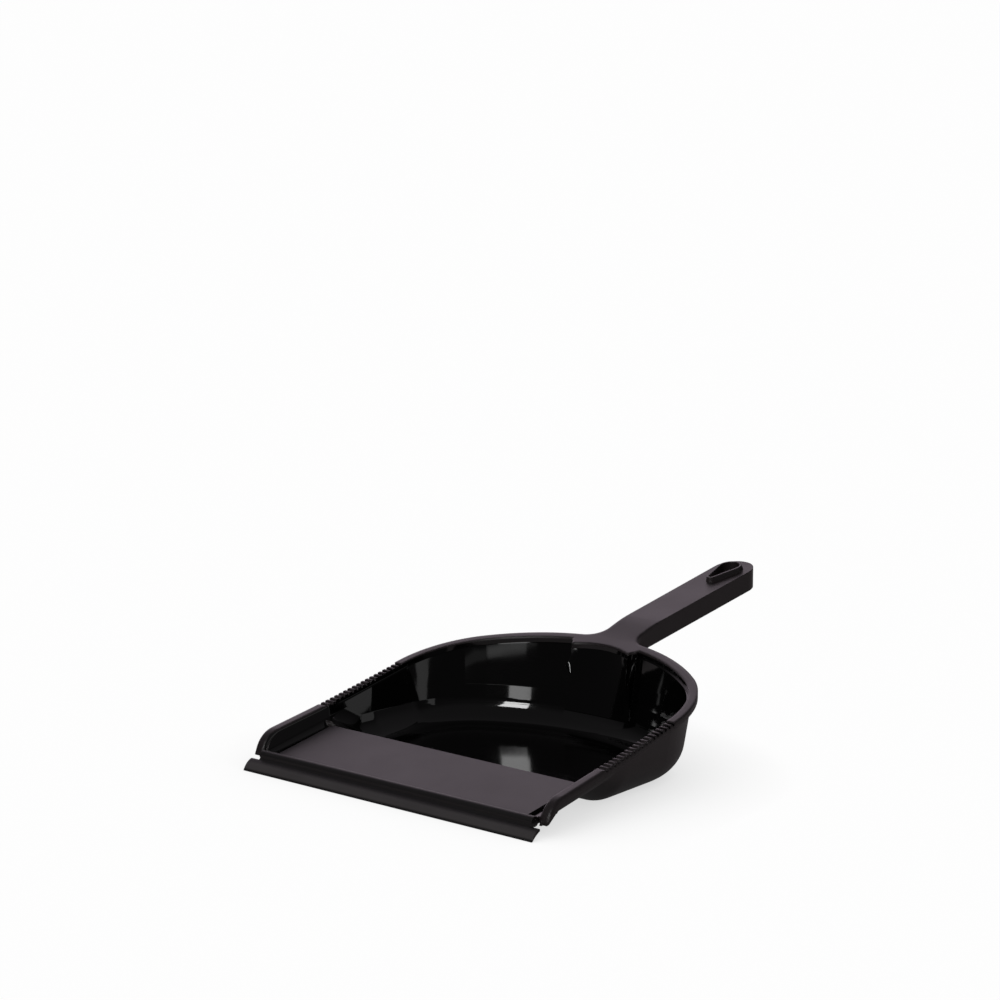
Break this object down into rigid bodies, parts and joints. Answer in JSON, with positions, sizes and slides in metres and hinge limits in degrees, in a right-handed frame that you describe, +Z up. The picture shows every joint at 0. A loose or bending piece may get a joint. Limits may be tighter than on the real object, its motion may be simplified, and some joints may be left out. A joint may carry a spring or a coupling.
{
  "type": "hand dustpan",
  "caption": "Hand dustpan: a deep rounded bowl with a sloping rim, comb teeth on its side rails, a soft front lip and a straight raised handle with a hanging hole.",
  "frame": {"origin": "on the floor, under the middle of the whole length and width", "axes": "+X across the pan, +Y from the lip to the handle's tip, +Z up"},
  "size_m": [0.2244, 0.3326, 0.0863],
  "materials": {
    "pan_plastic": "black moulded polypropylene, polished inside the bowl and satin on the rim, handle and outer walls",
    "lip_rubber": "matte dark grey soft moulding"
  },
  "bodies": {
    "root": {"pan": "pan_plastic", "lip": "lip_rubber"}
  },
  "joints": []
}
